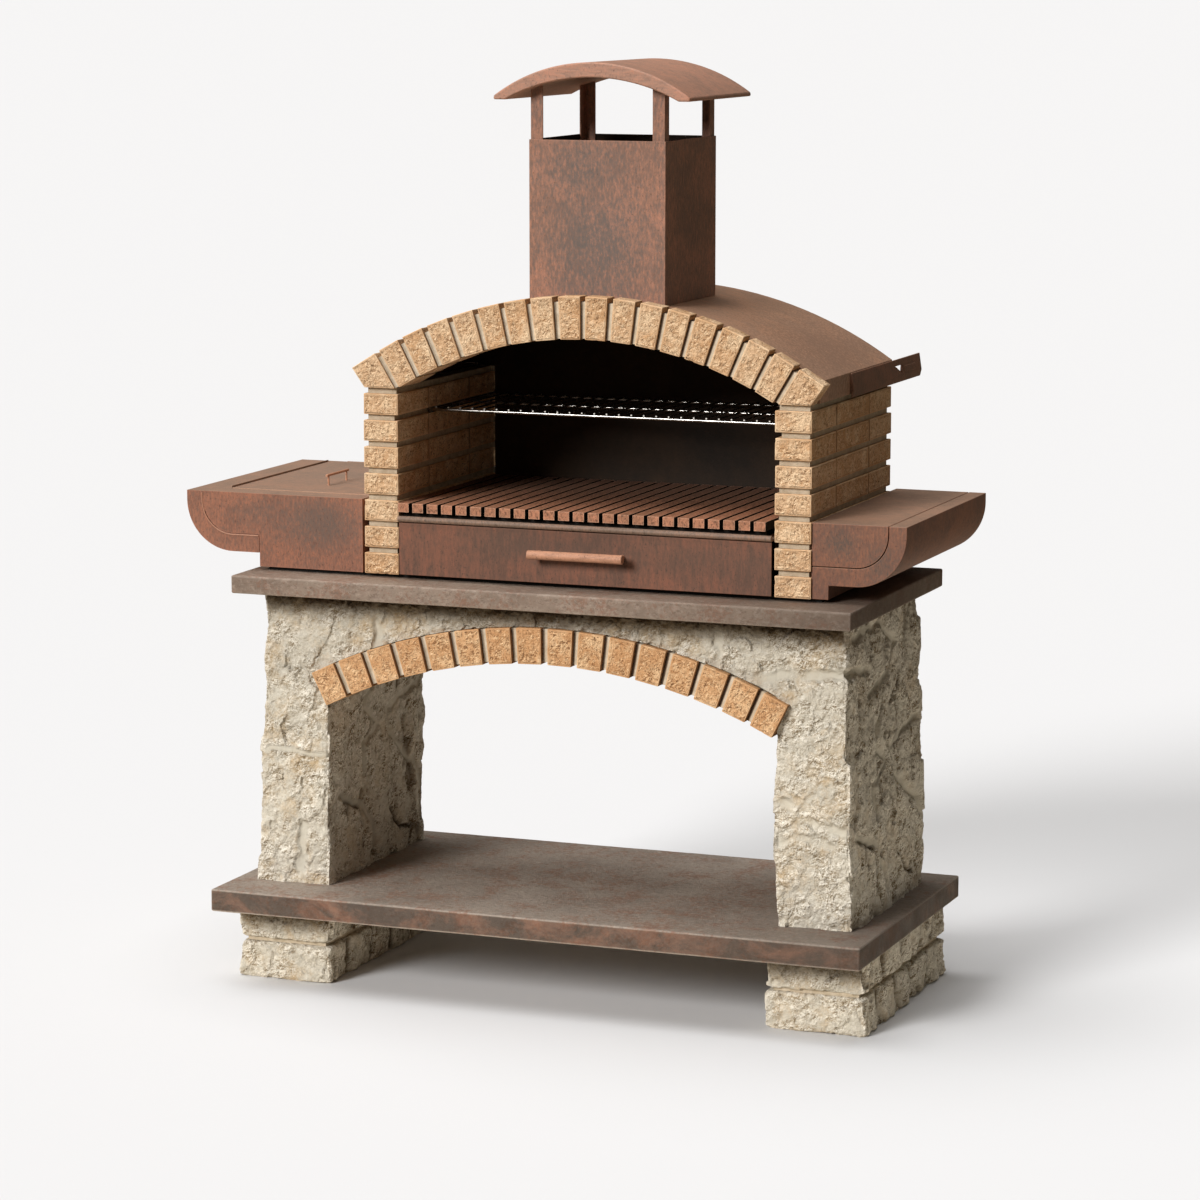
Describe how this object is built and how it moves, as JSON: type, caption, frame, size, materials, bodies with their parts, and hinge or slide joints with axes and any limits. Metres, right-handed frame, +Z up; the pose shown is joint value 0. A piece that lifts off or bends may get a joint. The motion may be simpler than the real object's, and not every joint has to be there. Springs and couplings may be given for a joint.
{
  "type": "masonry barbecue oven",
  "caption": "Masonry barbecue: stone piers and a brick arch carry a slab worktop with a brick firebox, sheet hood, chimney, ash drawer, grate, grill, lidded box and side table.",
  "frame": {"origin": "on the floor, in the middle of the whole object's footprint", "axes": "+Z up, front (drawer and arch faces) towards -Y, +X to the right seen from the front, on the side-table side"},
  "size_m": [1.69, 0.89, 2.064],
  "materials": {
    "stone": "rough-hewn",
    "mortar": "matte",
    "slab": "matte",
    "arch_brick": "rough",
    "fire_brick": "rough",
    "dark_base": "matte",
    "sooted_steel": "matte",
    "hood_steel": "satin",
    "chimney_steel": "satin",
    "panel_steel": "satin",
    "handle_steel": "satin",
    "grate_iron": "matte",
    "grill_chrome": "polished",
    "pin_steel": "satin"
  },
  "bodies": {
    "oven": {"plinth_left_lower": "stone", "plinth_left_bed": "mortar", "plinth_left_upper": "stone", "plinth_right_lower": "stone", "plinth_right_bed": "mortar", "plinth_right_upper": "stone", "lower_shelf": "slab", "pier_left": "stone", "pier_right": "stone", "arch_stone": "stone", "lower_arch_bricks": "arch_brick", "lower_arch_mortar": "mortar", "worktop": "slab", "firebox_base": "dark_base", "wall_left_bricks": "fire_brick", "wall_left_mortar": "mortar", "wall_right_bricks": "fire_brick", "wall_right_mortar": "mortar", "upper_arch_bricks": "fire_brick", "skewback_left": "fire_brick", "skewback_right": "fire_brick", "upper_arch_mortar": "mortar", "fire_back": "sooted_steel", "hood": "hood_steel", "eave_bracket_left": "hood_steel", "eave_bracket_right": "hood_steel", "chimney_flue": "chimney_steel", "chimney_posts": "chimney_steel", "chimney_cap": "chimney_steel", "drawer_runners": "sooted_steel", "grate_ledges": "sooted_steel", "grate_frame": "grate_iron", "storage_box": "panel_steel", "lid_hinge_pins": "pin_steel", "side_table_body": "panel_steel", "side_table_band": "panel_steel"},
    "drawer": {"drawer_front": "panel_steel", "drawer_tray": "sooted_steel", "drawer_handle_bar": "handle_steel", "drawer_handle_posts": "handle_steel"},
    "grate": {"grate_bearers": "grate_iron", "grate_bars": "grate_iron"},
    "grill": {"grill_frame": "grill_chrome", "grill_rods": "grill_chrome"},
    "lid": {"box_lid": "panel_steel", "lid_handle_rod": "handle_steel", "lid_handle_legs": "handle_steel"}
  },
  "joints": [
    {"name": "drawer_slide", "type": "slide", "parent": "oven", "child": "drawer", "axis": [0, -1, 0], "range_m": [0, 0.42]},
    {"name": "grate_lift", "type": "slide", "parent": "oven", "child": "grate", "axis": [0, 0, 1], "range_m": [0, 0.12]},
    {"name": "grill_slide", "type": "slide", "parent": "oven", "child": "grill", "axis": [0, -1, 0], "range_m": [0, 0.25]},
    {"name": "lid_hinge", "type": "hinge", "parent": "oven", "child": "lid", "pos_m": [-0.5915, 0.282, 1.1016], "axis": [-1, 0, 0], "range_deg": [0, 100]}
  ]
}
